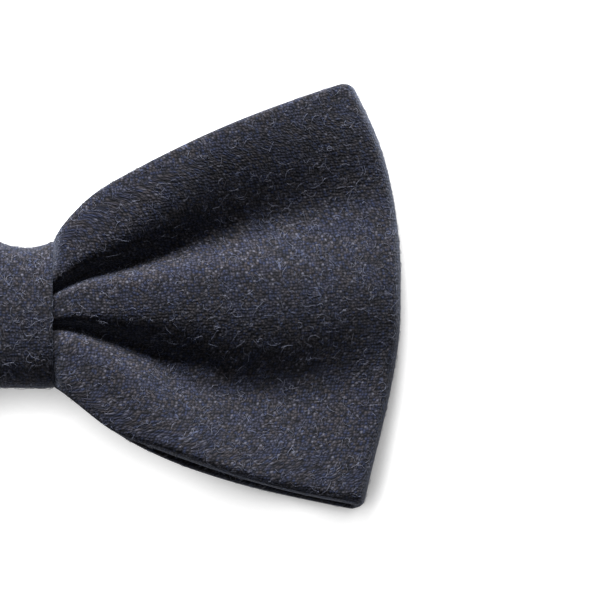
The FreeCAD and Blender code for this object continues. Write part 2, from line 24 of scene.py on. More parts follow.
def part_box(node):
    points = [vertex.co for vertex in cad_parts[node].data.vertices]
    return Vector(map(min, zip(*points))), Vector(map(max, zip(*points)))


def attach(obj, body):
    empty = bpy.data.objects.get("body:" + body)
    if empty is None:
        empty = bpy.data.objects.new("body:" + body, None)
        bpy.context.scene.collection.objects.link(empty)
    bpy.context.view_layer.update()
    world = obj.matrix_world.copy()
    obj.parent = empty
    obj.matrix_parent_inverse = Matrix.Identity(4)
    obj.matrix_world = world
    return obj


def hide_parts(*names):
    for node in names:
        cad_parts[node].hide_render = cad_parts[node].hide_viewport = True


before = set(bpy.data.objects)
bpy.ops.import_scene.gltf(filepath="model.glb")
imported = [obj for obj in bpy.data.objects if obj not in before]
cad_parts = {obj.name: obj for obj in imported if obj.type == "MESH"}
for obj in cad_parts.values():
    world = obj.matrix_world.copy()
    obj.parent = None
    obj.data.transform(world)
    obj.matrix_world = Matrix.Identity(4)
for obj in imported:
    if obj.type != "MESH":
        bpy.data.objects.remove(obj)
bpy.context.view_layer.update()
MM = 0.001
bow_low, bow_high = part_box("bow_shell")
knot_low, knot_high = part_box("knot_band")
half_width = bow_high.x
half_height = bow_high.y
knot_edge = knot_high.x
reach = half_width - knot_edge
print("bow", [round(2000 * s, 1) for s in (half_width, half_height)], "mm")
print("knot half width", round(1000 * knot_edge, 2), "mm")

# %% [markdown]
# ## Smooth guide lines
#
# A tailor marks a few points on paper and joins them with a French curve. The helper below does the same: it
# draws a smooth line through a few (place, height) marks. Everything about the cloth's shape is then a
# handful of marks that can be read and changed. A spline object could do this too, but a function is
# easier to ask for its height at any place.

# %% Guide lines
def through(marks, place):
    """Height at place of a smooth line through marks, pairs of place and height. It runs on straight past
    its ends."""
    places = [mark[0] for mark in marks]
    heights = [mark[1] for mark in marks]
    slopes = [(heights[k + 1] - heights[k]) / (places[k + 1] - places[k]) for k in range(len(marks) - 1)]
    lean = [slopes[0]] + [(a + b) / 2 for a, b in zip(slopes, slopes[1:])] + [slopes[-1]]
    if place <= places[0]:
        return heights[0] + lean[0] * (place - places[0])
    if place >= places[-1]:
        return heights[-1] + lean[-1] * (place - places[-1])
    k = max(i for i in range(len(slopes)) if places[i] <= place)
    step = places[k + 1] - places[k]
    f = (place - places[k]) / step
    rise = heights[k + 1] - heights[k]
    start, finish = lean[k] * step, lean[k + 1] * step
    return (heights[k] + f * start + f * f * (3 * rise - 2 * start - finish)
            + f ** 3 * (start + finish - 2 * rise))


def ease(low, high, value):
    """0 below low, 1 above high, and a soft step between them."""
    f = min(max((value - low) / (high - low), 0.0), 1.0)
    return f * f * (3 - 2 * f)


# %% [markdown]
# ## The wing's outline
#
# Seen from the front each wing is a fan. Its upper and lower edges leave the knot steeply and straighten out,
# so they are nearly straight lines when drawn against the square root of the way out along the wing. Its
# outer end is a gentle bow, because the pleats pull its corners in. The rear layer hangs a little lower than
# the front one, which shows as a second edge under the wing.

# %% The outline, as shares of the wing's reach and of the bow's half height
UPPER_EDGE = [(0, 0.235), (0.14, 0.305), (0.366, 0.4985), (0.5, 0.607), (0.772, 0.866), (0.924, 1.018)]
FRONT_LOWER_EDGE = [(0, -0.408), (0.14, -0.428), (0.277, -0.502), (0.44, -0.64), (0.6, -0.757),
                    (0.826, -0.925), (0.939, -0.996)]
REAR_LOWER_EDGE = [(0, -0.42), (0.14, -0.437), (0.277, -0.508), (0.5, -0.704), (0.65, -0.824),
                   (0.772, -0.913), (0.94, -1.014)]
OUTER_END = [(-1, 0.893), (-0.82, 0.916), (-0.44, 0.971), (-0.2, 0.996), (0, 1.0), (0.23, 0.996),
             (0.61, 0.953), (1, 0.862)]


def edge_height(edge, x):
    """How high or low an edge line runs at a distance x from the middle."""
    share = max((x - knot_edge) / reach, 0.0)
    return half_height * through(edge, math.sqrt(share))


def outer_end(across):
    """How far out the wing's end reaches, for a place across the cloth from -1, lower, to 1, upper."""
    return knot_edge + reach * through(OUTER_END, across)


print("outer end", round(1000 * outer_end(0), 1), "mm, corners", round(1000 * outer_end(1), 1))

# %% [markdown]
# ## The pleats
#
# Two valleys divide the front into three ridges. Near the knot they are narrow and steep-sided like a pinched
# fold, and towards the end they open and fade. Each ridge is a rounded back: flat at its crest and steeper
# and steeper towards the valley, so the valley stays a sharp line. The ridges are drawn by rule, which puts
# each pleat where it is wanted, and are softened afterwards. No cloth simulation was tried.

# %% Where the valleys and crests run, against the share of the way out
UPPER_VALLEY = [(0, 0.265), (0.06, 0.26), (0.12, 0.275), (0.25, 0.306), (0.4, 0.338), (0.55, 0.362),
                (1, 0.37)]
LOWER_VALLEY = [(0, -0.18), (0.07, -0.22), (0.19, -0.255), (0.27, -0.306), (0.36, -0.381), (0.45, -0.431),
                (0.54, -0.463), (0.68, -0.45), (0.84, -0.385), (1, -0.33)]
UPPER_CREST = [(0, 0.74), (0.2, 0.81), (0.5, 0.90), (1, 0.93)]
MIDDLE_CREST = [(0, 0.08), (0.2, 0.12), (0.5, 0.13), (0.8, 0.09), (1, 0.04)]
LOWER_CREST = [(0, -0.70), (0.2, -0.85), (0.4, -1.1), (0.6, -1.3), (1, -1.6)]
CREST_LEVEL = [(0, 12.9), (0.1, 13.7), (0.3, 14.1), (0.5, 13.6), (0.7, 12.2), (0.85, 10.5), (1, 8.3)]
UPPER_DEPTH = [(0, 3.4), (0.15, 4.7), (0.35, 5.5), (0.55, 6.2), (0.75, 6.2), (0.9, 5.3), (1, 3.8)]
LOWER_DEPTH = [(0, 3.4), (0.15, 4.7), (0.35, 6.0), (0.55, 6.6), (0.75, 6.0), (0.9, 4.9), (1, 3.4)]
MIDDLE_DROP = [(0, 0.5), (0.3, 0.6), (0.6, 1.2), (1, 0.5)]
LOWER_LIFT = [(0, 0), (0.4, 0), (0.6, 0.8), (0.8, 2.0), (1, 2.2)]
UPPER_BEND = [(0, 9), (0.1, 6.5), (0.26, 3.4), (0.45, 1.8), (0.6, 1.4), (1, 1.25)]
MIDDLE_UPPER_BEND = [(0, 9), (0.1, 6.5), (0.26, 3.6), (0.45, 2.5), (0.6, 2.3), (1, 2.0)]
MIDDLE_LOWER_BEND = [(0, 9), (0.1, 6), (0.3, 3.4), (0.6, 2.6), (1, 2.4)]
LOWER_BEND = [(0, 9), (0.1, 6.5), (0.26, 3.6), (0.45, 2.1), (0.6, 1.7), (1, 1.5)]
EDGE_ROLL = 1.75
SOFTNESS = [(0, 0.012), (0.3, 0.03), (0.55, 0.06), (0.8, 0.10), (1, 0.14)]
LAYER = 1.8 * MM
LAYER_GAP = 0.2 * MM
REAR_WAIST = 5.4 * MM
REAR_LEVEL_TO = 25 * MM
REAR_FLAT_END = 13 * MM
SAMPLES = 241


@lru_cache(maxsize=None)
def ridge_line(share):
    """Front heights across the cloth at one share of the way out, softened, as an array."""
    across = np.linspace(-1, 1, SAMPLES)
    low, high = through(LOWER_VALLEY, share), through(UPPER_VALLEY, share)
    crests = [through(line, share) for line in (LOWER_CREST, MIDDLE_CREST, UPPER_CREST)]
    upper_depth, lower_depth = through(UPPER_DEPTH, share), through(LOWER_DEPTH, share)
    tops = [-through(LOWER_LIFT, share), through(MIDDLE_DROP, share), 0.0]
    bends = [through(line, share) for line in (LOWER_BEND, MIDDLE_LOWER_BEND, MIDDLE_UPPER_BEND, UPPER_BEND)]
    heights = np.zeros(SAMPLES)
    for k, v in enumerate(across):
        ridge = 0 if v < low else 1 if v < high else 2
        crest = crests[ridge]
        to_lower = ridge == 0 or (ridge == 1 and v < crest)
        valley, depth = (low, lower_depth) if to_lower else (high, upper_depth)
        way = (v - crest) / (valley - crest)
        bend = bends[(0 if ridge == 0 else 1) if to_lower else ridge + 1]
        top = tops[ridge]
        if way > 0:
            heights[k] = -top - (depth - top) * way ** bend
        else:
            heights[k] = -depth * (EDGE_ROLL * abs(v - crest)) ** 2
    width = max(through(SOFTNESS, share), 0.008) * (SAMPLES - 1) / 2
    reach_k = int(3 * width) + 1
    bell = np.exp(-0.5 * (np.arange(-reach_k, reach_k + 1) / width) ** 2)
    padded = np.pad(heights, reach_k, mode="reflect", reflect_type="odd")
    soft = np.convolve(padded, bell / bell.sum(), mode="valid")
    return (through(CREST_LEVEL, share) + soft) * MM


def rear_level(x):
    """Height of the rear layer's outer face: level behind the clip, then down to the table."""
    return REAR_WAIST * (1 - ease(REAR_LEVEL_TO, half_width - REAR_FLAT_END, x))


def front_level(x, across, end):
    """Height of the front layer's outer face."""
    share = min(max((x - knot_edge) / (end - knot_edge), 0.0), 1.0)
    height = np.interp(across, np.linspace(-1, 1, SAMPLES), ridge_line(round(share, 3)))
    floor = rear_level(x) + 2 * LAYER + LAYER_GAP
    return max(height, floor)


half_way = knot_edge + reach / 2
print("front at half way, lower edge to upper, in mm",
      [round(1000 * front_level(half_way, across, half_width), 1) for across in (-1, -0.5, 0, 0.5, 1)])

# %% [markdown]
# ## The folded loop as a grid
#
# The whole loop is one strip of cloth, so it starts as one flat grid. Its long direction follows the strip
# from the seam behind the middle, round the left fold, across the front, round the right fold and back to the
# seam. Its short direction runs from the lower to the upper edge. Each vertex is then moved to its place on
# the folded bow. Box modelling would also work, but a grid keeps clean rows that the weave can follow.

# %% The thread winding that squeezes the waist
THREAD = 0.4 * MM
WAIST_SQUEEZE = 0.88
WINDING_ROUND, WINDING_BACK_ROUND = 2.2, 5.0
thread_low, thread_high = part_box("gather_thread")
waist_middle = (thread_low.y + thread_high.y) / 2
winding_half = (thread_high.y - thread_low.y - THREAD) / 2
winding_back = thread_low.z + THREAD / 2
winding_top = thread_high.z - THREAD
winding_level = (winding_back + winding_top) / 2


def winding_front(y):
    """How far forward the thread lies at a height on the bow: it pulls the waist into a rounded bundle."""
    out = min(abs(y - waist_middle) / winding_half, 1.0)
    return winding_level + (winding_top - winding_level) * (1 - out ** WINDING_ROUND) ** (1 / WINDING_ROUND)


print("winding", round(1000 * winding_back, 2), "to", round(1000 * winding_top, 2), "mm")

# %% Place one grid vertex
STRIP_STEPS = 180
ACROSS_STEPS = 52
FRONT_PART, FOLD_PART = 0.54, 0.66
FOLD_REACH = 1.7 * MM
CORNER = 1.9 * MM
CORNER_CUT, CORNER_SHARPNESS = 0.5, 6
HEM_WIDTH, HEM_DROP = 1.6 * MM, 3.4 * MM
HEM_FROM, HEM_FULL_FROM = 14 * MM, 24 * MM
SQUEEZE_FROM = 0.6
WANDER_LENGTH, WANDER_HEIGHT, WANDER_EASE = 14 * MM, 0.25 * MM, 8 * MM
REAR_WANDER_SHIFT = 0.03
THREAD_RELEASE, RELEASE_FROM, RELEASE_TO = 12 * MM, 0.2 * MM, 3 * MM


def strip_point(along, across):
    """The outer face of the folded tube: along runs from -1, the left rear end, to 1, the right rear end,
    and across from -1, lower, to 1, upper."""
    side = 1 if along >= 0 else -1
    way = abs(along)
    end = outer_end(across)
    straight = end - FOLD_REACH
    front_z = front_level(straight, across, end)
    if way <= FRONT_PART:
        x = straight * way / FRONT_PART
        z = front_level(x, across, end)
        behind = 0.0
    elif way <= FOLD_PART:
        turn = math.pi * (way - FRONT_PART) / (FOLD_PART - FRONT_PART)
        x = straight + FOLD_REACH * math.sin(turn)
        z = front_z * (1 + math.cos(turn)) / 2 + rear_level(straight) * (1 - math.cos(turn)) / 2
        behind = (1 - math.cos(turn)) / 2
    else:
        x = straight * (1 - way) / (1 - FOLD_PART)
        z = rear_level(x)
        behind = 1.0
    lower = (1 - behind) * edge_height(FRONT_LOWER_EDGE, x) + behind * edge_height(REAR_LOWER_EDGE, x)
    upper = edge_height(UPPER_EDGE, x)
    y = lower + (upper - lower) * (across + 1) / 2
    into_corner = max(x - (end - CORNER), 0.0) / CORNER
    cut = CORNER * CORNER_CUT * (1 - math.sqrt(max(1 - into_corner ** 2, 0.0)))
    y -= math.copysign(cut, across) * abs(across) ** CORNER_SHARPNESS
    near_hem = 1 - min((y - lower) / HEM_WIDTH, 1.0)
    hem_round = 1 - math.sqrt(max(1 - near_hem ** 2, 0.0))
    z -= HEM_DROP * (1 - behind) * ease(HEM_FROM, HEM_FULL_FROM, x) * hem_round
    squeeze = WAIST_SQUEEZE + (1 - WAIST_SQUEEZE) * ease(SQUEEZE_FROM * knot_edge, knot_edge, x)
    y = waist_middle + (y - waist_middle) * squeeze
    wander = noise.noise(Vector((side * x, y, REAR_WANDER_SHIFT * behind + side)) / WANDER_LENGTH)
    z += WANDER_HEIGHT * wander * ease(knot_edge, knot_edge + WANDER_EASE, x) * (1 - behind)
    if behind < 0.5:
        release = ease(knot_edge - RELEASE_FROM, knot_edge + RELEASE_TO, x)
        z = min(z, winding_front(y) - THREAD + THREAD_RELEASE * release)
    return Vector((side * x, y, z))


print("right end", [round(1000 * c, 1) for c in strip_point(0.6, 0)])

# %% Build the strip and give it a map of the cloth
def measured_map(mesh, name, lengths):
    """Writes a UV map in metres, so that threads keep their size wherever the cloth narrows."""
    layer = mesh.loops.layers.uv.new(name)
    for face in mesh.faces:
        for loop in face.loops:
            loop[layer].uv = lengths[loop.vert]


def cloth_strip(place, steps_along, steps_across):
    """A grid whose vertices are put where place(along, across) says, mapped in metres of cloth."""
    mesh = bmesh.new()
    bmesh.ops.create_grid(mesh, x_segments=steps_along, y_segments=steps_across, size=1)
    spots = {}
    for vert in mesh.verts:
        i = round((vert.co.x + 1) / 2 * steps_along)
        j = round((vert.co.y + 1) / 2 * steps_across)
        spots[(i, j)] = vert
        vert.co = place(2 * i / steps_along - 1, 2 * j / steps_across - 1)
    lengths = {}
    mid_i, mid_j = steps_along // 2, steps_across // 2
    points = np.array([[spots[(i, j)].co for j in range(steps_across + 1)] for i in range(steps_along + 1)])
    du = np.linalg.norm(np.diff(points, axis=0), axis=2)
    dv = np.linalg.norm(np.diff(points, axis=1), axis=2)
    u = np.vstack([np.zeros((1, steps_across + 1)), np.cumsum(du, axis=0)])
    v = np.hstack([np.zeros((steps_along + 1, 1)), np.cumsum(dv, axis=1)])
    u -= u[mid_i]
    v -= v[:, mid_j:mid_j + 1]
    for (i, j), vert in spots.items():
        lengths[vert] = (u[i, j], v[i, j])
    measured_map(mesh, "cloth", lengths)
    return mesh


def as_object(mesh, name):
    """Links a finished bmesh into the scene under a name."""
    data = bpy.data.meshes.new(name)
    mesh.to_mesh(data)
    mesh.free()
    piece = bpy.data.objects.new(name, data)
    bpy.context.scene.collection.objects.link(piece)
    for face in data.polygons:
        face.use_smooth = True
    return piece


def with_modifiers(piece, *settings):
    """Runs modifiers on a piece, one after the other, and keeps only their result."""
    for kind, values in settings:
        modifier = piece.modifiers.new(kind.title(), kind)
        for key, value in values.items():
            setattr(modifier, key, value)
    graph = bpy.context.evaluated_depsgraph_get()
    baked = bpy.data.meshes.new_from_object(piece.evaluated_get(graph), preserve_all_data_layers=True,
                                            depsgraph=graph)
    piece.modifiers.clear()
    piece.data = baked
    for face in baked.polygons:
        face.use_smooth = True
    return piece


def upward(mesh):
    """Turns a sheet's faces so that the one over the middle of the front looks up."""
    middle = min(mesh.faces, key=lambda f: (f.calc_center_median().xy.length, -f.calc_center_median().z))
    if middle.normal.z < 0:
        bmesh.ops.reverse_faces(mesh, faces=mesh.faces)


def spread_rim(piece, thickness):
    """Thickening gives the rim no width on the cloth map, so its inner corners move out by the thickness."""
    cloth = piece.data.uv_layers["cloth"].data
    inner_from = len(piece.data.vertices) // 2
    spread = 0
    for face in piece.data.polygons:
        corners = [(k, piece.data.loops[k].vertex_index, cloth[k].uv.copy()) for k in face.loop_indices]
        if len({index >= inner_from for _, index, _ in corners}) < 2:
            continue
        middle = sum((uv for _, _, uv in corners), Vector((0, 0))) / len(corners)
        wide = max(abs(uv.x - middle.x) for _, _, uv in corners)
        high = max(abs(uv.y - middle.y) for _, _, uv in corners)
        out = Vector((0, math.copysign(thickness, middle.y))) if wide > high else Vector(
            (math.copysign(thickness, middle.x), 0))
        for k, index, uv in corners:
            if index >= inner_from:
                cloth[k].uv = uv + out
        spread += 1
    print(piece.name, "has", spread, "rim faces")


def folded_layer(name, depth, thickness, margin, rounded):
    """A layer of the folded loop: depth below the tube's outer face, margin in from its edges and ends."""
    across_share = 1 - margin / half_height
    along_share = 1 - margin / (4 * reach)
    strip = cloth_strip(lambda along, across: strip_point(along * along_share, across * across_share),
                        STRIP_STEPS, ACROSS_STEPS)
    strip.normal_update()
    upward(strip)
    strip.normal_update()
    for vert in strip.verts:
        vert.co -= vert.normal * depth
    layer = as_object(strip, name)
    with_modifiers(layer, ("SOLIDIFY", {"thickness": thickness, "offset": -1}))
    if rounded:
        spread_rim(layer, thickness)
        with_modifiers(layer, ("SUBSURF", {"levels": 1, "render_levels": 1}))
    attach(layer, "bow")
    print(name, "has", len(layer.data.polygons), "faces")
    return layer


PLY, STIFFENING, SLACK = 0.6 * MM, 0.4 * MM, 0.1 * MM
INSIDE_MARGIN, STIFFENING_MARGIN = 1.1 * MM, 1.4 * MM
bow_flannel = folded_layer("bow_flannel", 0.0, LAYER, 0.0, rounded=True)
tube_inside = folded_layer("tube_inside", PLY, LAYER - 2 * PLY, INSIDE_MARGIN, rounded=False)
tube_inside.data.flip_normals()
bow_stiffening = folded_layer("bow_stiffening", PLY + SLACK, STIFFENING, STIFFENING_MARGIN, rounded=False)


def open_faces(piece):
    """A search tree of the piece and its faces as (place, normal, area)."""
    mesh = bmesh.new()
    mesh.from_mesh(piece.data)
    surface = BVHTree.FromBMesh(mesh)
    roots = [(f.calc_center_median(), f.normal.copy(), f.calc_area()) for f in mesh.faces]
    mesh.free()
    return surface, roots


def join_into(piece, part):
    """Adds part's mesh to piece and removes part."""
    mesh = bmesh.new()
    mesh.from_mesh(piece.data)
    mesh.from_mesh(part.data)
    mesh.to_mesh(piece.data)
    mesh.free()
    bpy.data.objects.remove(part)


bow_surface, bow_roots = open_faces(bow_flannel)
join_into(bow_flannel, tube_inside)
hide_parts("bow_shell")
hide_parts("bow_interlining")

# %% [markdown]
# ## The knot
#
# The knot is a short folded band wrapped tightly round the pinched waist and sewn shut behind. Its front is
# rounded, nearly an ellipse, and its back is squarer, where it lies over the clip's bar.

# %% The knot band
KNOT_STEPS = 104
KNOT_ACROSS = 32
EDGE_TURN = 0.75 * MM
FLUFF = 0.6 * MM
FRONT_TOP_ROUND, FRONT_BOTTOM_ROUND, BACK_ROUND = 1.9, 2.3, 4.5
SADDLE = 0.9 * MM
SADDLE_SHARPNESS = 4
KNOT_SEAM = 0.99999
KNOT_FLAT, KNOT_TURN, KNOT_HEM = 0.5, 0.3, 0.2
TURNED_IN = 1.4 * MM
RIPPLE, RIPPLES_ACROSS, RIPPLES_ALONG = 0.12 * MM, 120, 260
KNOT_PLY, LINING, LINING_GAP, LINING_MARGIN = 0.55 * MM, 0.3 * MM, 0.06 * MM, 0.1 * MM
LINING_STEPS = 6
knot_middle = (knot_low + knot_high) / 2
knot_half = (knot_high - knot_low) / 2 - Vector((0, 0.05 * MM, 0))


def knot_ring(along, inset):
    """Height and level on the ring of the knot, at a distance inside its outer face. along runs once round,
    from the seam behind, over the top of the bow and back."""
    angle = math.pi * along * KNOT_SEAM
    c, s = math.sin(angle), math.cos(angle)
    squareness = BACK_ROUND if s < 0 else FRONT_TOP_ROUND if c > 0 else FRONT_BOTTOM_ROUND
    y = math.copysign(abs(c) ** (2 / squareness), c) * (knot_half.y - inset)
    z = math.copysign(abs(s) ** (2 / squareness), s) * (knot_half.z - inset)
    return y, z, c


def knot_point(along, across):
    """The flannel's outer face: flat over the band's width, then turned in round both edges."""
    flat_half = knot_edge + FLUFF - EDGE_TURN
    out = abs(across)
    if out <= KNOT_FLAT:
        x, inset = flat_half * out / KNOT_FLAT, 0.0
    elif out <= 1 - KNOT_HEM:
        turn = math.pi * (out - KNOT_FLAT) / KNOT_TURN
        x, inset = flat_half + EDGE_TURN * math.sin(turn), EDGE_TURN * (1 - math.cos(turn))
    else:
        x, inset = flat_half - TURNED_IN * (out - (1 - KNOT_HEM)) / KNOT_HEM, 2 * EDGE_TURN
    x = math.copysign(x, across)
    y, z, c = knot_ring(along, inset)
    y -= SADDLE * (1 - (x / knot_edge) ** 2) * max(c, 0) ** SADDLE_SHARPNESS
    z += RIPPLE * noise.noise(Vector((x * RIPPLES_ACROSS, y * RIPPLES_ALONG, 0.5))) * (z > 0)
    return Vector((x, knot_middle.y + y, knot_middle.z + z))


def knot_lining_point(along, across):
    """The stiffening strip inside the knot's flannel."""
    y, z, c = knot_ring(along, KNOT_PLY + LINING_GAP)
    x = across * (knot_edge - EDGE_TURN - LINING_MARGIN)
    y -= SADDLE * (1 - (x / knot_edge) ** 2) * max(c, 0) ** SADDLE_SHARPNESS
    return Vector((x, knot_middle.y + y, knot_middle.z + z))


def wrapped_band(name, place, steps_across, thickness, softness):
    """A band of cloth wrapped round the waist, thickened inwards."""
    band = cloth_strip(place, KNOT_STEPS, steps_across)
    band.normal_update()
    upward(band)
    piece = as_object(band, name)
    with_modifiers(piece,
                   ("SOLIDIFY", {"thickness": thickness, "offset": -1}),
                   ("SUBSURF", {"levels": softness, "render_levels": softness}))
    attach(piece, "bow")
    print(name, "has", len(piece.data.polygons), "faces")
    return piece


knot_flannel = wrapped_band("knot_flannel", knot_point, KNOT_ACROSS, KNOT_PLY, 1)
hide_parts("knot_band")
knot_stiffening = wrapped_band("knot_stiffening", knot_lining_point, LINING_STEPS, LINING, 0)
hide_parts("knot_interlining")

# %% [markdown]
# ## The gathering thread
#
# Under the knot, seven turns of strong thread hold the pleats. It is one thread wound in a flattened spiral,
# so it is drawn as one curve with a round section and then made a mesh.

# %% The gathering thread
TURNS = 7
POINTS_PER_TURN = 28


def round_rope(name, routes, radius, sides):
    """Turns routes of points into one mesh of thin round ropes."""
    curve = bpy.data.curves.new(name, "CURVE")
    curve.dimensions = "3D"
    curve.bevel_depth = radius
    curve.bevel_resolution = sides
    curve.use_fill_caps = True
    for route in routes:
        spline = curve.splines.new("POLY")
        spline.points.add(len(route) - 1)
        for point, spot in zip(spline.points, route):
            point.co = (*spot, 1)
    line = bpy.data.objects.new(name + "_line", curve)
    bpy.context.scene.collection.objects.link(line)
    graph = bpy.context.evaluated_depsgraph_get()
    mesh = bpy.data.meshes.new_from_object(line.evaluated_get(graph))
    bpy.data.objects.remove(line)
    piece = bpy.data.objects.new(name, mesh)
    bpy.context.scene.collection.objects.link(piece)
    for face in mesh.polygons:
        face.use_smooth = True
    print(name, "has", len(mesh.polygons), "faces")
    return piece


def winding_point(k):
    """The k-th point of the spiral of thread round the waist."""
    angle = 2 * math.pi * k / POINTS_PER_TURN
    c, s = math.cos(angle), math.sin(angle)
    squareness = WINDING_ROUND if s > 0 else WINDING_BACK_ROUND
    y = math.copysign(abs(c) ** (2 / squareness), c) * winding_half
    z = math.copysign(abs(s) ** (2 / squareness), s) * (winding_top - winding_level)
    x = (k / POINTS_PER_TURN - TURNS / 2) * (thread_high.x - thread_low.x - THREAD) / TURNS
    return Vector((x, waist_middle + y, winding_level + z))


winding_route = [winding_point(k) for k in range(TURNS * POINTS_PER_TURN + 1)]
winding = round_rope("waist_winding", [winding_route], THREAD / 2, 1)
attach(winding, "bow")
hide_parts("gather_thread")

# %% [markdown]
# ## The clip's springs
#
# Each jaw is closed by a small torsion spring: a coil round the hinge pin with two straight legs. One leg
# lies on the bar and stays with the coil. The other presses on the lever's thumb tab and swings with it, so
# it is a piece of its own, joined to the coil at its first turn.

# %% The clip's springs
WIRE = 0.4 * MM
COIL_TURNS, COIL_PITCH = 4.5, 0.5 * MM
POINTS_PER_COIL = 24
SPRING_LEG = 4.6 * MM
JOIN = 0.06


def spring_route(hand, side, first, last):
    """Points along the spring's wire between two turns, with the straight leg where the wire ends."""
    low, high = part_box(f"{hand}_spring")
    pin_low, pin_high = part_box(f"{hand}_hinge_pin")
    pin = (pin_low + pin_high) / 2
    radius = (high.z - low.z - WIRE) / 2

    def wire_point(turn):
        angle = 2 * math.pi * turn
        along_pin = COIL_PITCH * (COIL_TURNS / 2 - turn)
        return Vector((radius * math.sin(angle), along_pin, -radius * math.cos(angle)))

    steps = max(round((last - first) * POINTS_PER_COIL), 3)
    route = [wire_point(first + (last - first) * k / steps) for k in range(steps + 1)]
    slope = COIL_PITCH / (2 * math.pi * radius)
    if first == 0 and last <= JOIN:
        route.insert(0, route[0] + SPRING_LEG * Vector((-1, slope, 0)).normalized())
    if last == COIL_TURNS:
        route.append(route[-1] + SPRING_LEG * Vector((-1, -slope, 0)).normalized())
    return [pin + Vector((side * point.x, side * point.y, point.z)) for point in route]


springs = []
for hand, side in (("right", 1), ("left", -1)):
    coil = round_rope(f"{hand}_spring_coil", [spring_route(hand, side, 0, COIL_TURNS)], WIRE / 2, 2)
    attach(coil, "bow")
    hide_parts(f"{hand}_spring")
    tab_leg = round_rope(f"{hand}_spring_leg", [spring_route(hand, side, 0, JOIN)], WIRE / 2, 2)
    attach(tab_leg, f"{hand}_lever")
    springs += [coil, tab_leg]

# %% [markdown]
# ## Wool flannel
#
# Flannel is woven from soft twisted yarns, then brushed. Close up it shows small round nubs about 0.5 mm
# apart, flecks of several dyed wools, and curly loose fibres lying over everything. The nubs are Voronoi
# cells on the cloth's own map, coloured darker towards their edges as painted shade in the pits between
# them, the flecks are each cell's random value, and the fibres are thin contour lines of a noise.

# %% Node helpers
def new_material(name):
    material = bpy.data.materials.new(name)
    material.use_nodes = True
    tree = material.node_tree
    return material, tree, tree.nodes["Principled BSDF"]


def node(tree, kind, inputs=None, **settings):
    made = tree.nodes.new(kind)
    for key, value in settings.items():
        setattr(made, key, value)
    for key, value in (inputs or {}).items():
        if isinstance(value, bpy.types.NodeSocket):
            tree.links.new(value, made.inputs[key])
        else:
            made.inputs[key].default_value = value
    return made


def maths(tree, operation, *values, clamp=False):
    made = node(tree, "ShaderNodeMath", operation=operation, use_clamp=clamp)
    for k, value in enumerate(values):
        if isinstance(value, bpy.types.NodeSocket):
            tree.links.new(value, made.inputs[k])
        else:
            made.inputs[k].default_value = value
    return made.outputs[0]


def mixed(tree, factor, first, second, blend="MIX"):
    made = node(tree, "ShaderNodeMix", data_type="RGBA", blend_type=blend)
    for key, value in (("Factor", factor), ("A", first), ("B", second)):
        socket = [s for s in made.inputs if s.name == key and (s.type == "RGBA" or key == "Factor")][0]
        if isinstance(value, bpy.types.NodeSocket):
            tree.links.new(value, socket)
        else:
            socket.default_value = value
    return [s for s in made.outputs if s.type == "RGBA"][0]


def ramp(tree, value, stops, interpolation="LINEAR"):
    made = node(tree, "ShaderNodeValToRGB", {"Fac": value})
    made.color_ramp.interpolation = interpolation
    for k, (place, colour) in enumerate(stops):
        if k < 2:
            stop = made.color_ramp.elements[k]
            stop.position = place
        else:
            stop = made.color_ramp.elements.new(place)
        stop.color = (*colour, 1)
    return made.outputs["Color"]


# %% The flannel material
CHARCOAL = (0.0060, 0.0061, 0.0088)
BROWN_WOOL = (0.026, 0.0228, 0.0255)
NAVY_WOOL = (0.013, 0.0168, 0.037)
GREY_WOOL = (0.060, 0.061, 0.079)
PALE_BLUE = (0.070, 0.083, 0.140)


def curly_fibres(tree, cloth, size, shift, thin):
    """Thin wandering lines: where a noise crosses its middle value."""
    moved = node(tree, "ShaderNodeVectorMath", {0: cloth, 1: (shift, 2 * shift, 0)},
                 operation="ADD").outputs[0]
    wander = node(tree, "ShaderNodeTexNoise", {"Vector": moved, "Scale": 1 / size, "Detail": 1.0,
                                               "Roughness": 0.6, "Distortion": 0.9}, noise_dimensions="2D")
    gap = maths(tree, "ABSOLUTE", maths(tree, "SUBTRACT", wander.outputs["Fac"], 0.5))
    line = maths(tree, "SUBTRACT", 1.0, maths(tree, "DIVIDE", gap, thin), clamp=True)
    patch = node(tree, "ShaderNodeTexNoise", {"Vector": moved, "Scale": 0.7 / size, "Detail": 1.0},
                 noise_dimensions="2D")
    shown = maths(tree, "MULTIPLY", maths(tree, "SUBTRACT", patch.outputs["Fac"], 0.42), 6.0, clamp=True)
    return maths(tree, "MULTIPLY", line, shown)


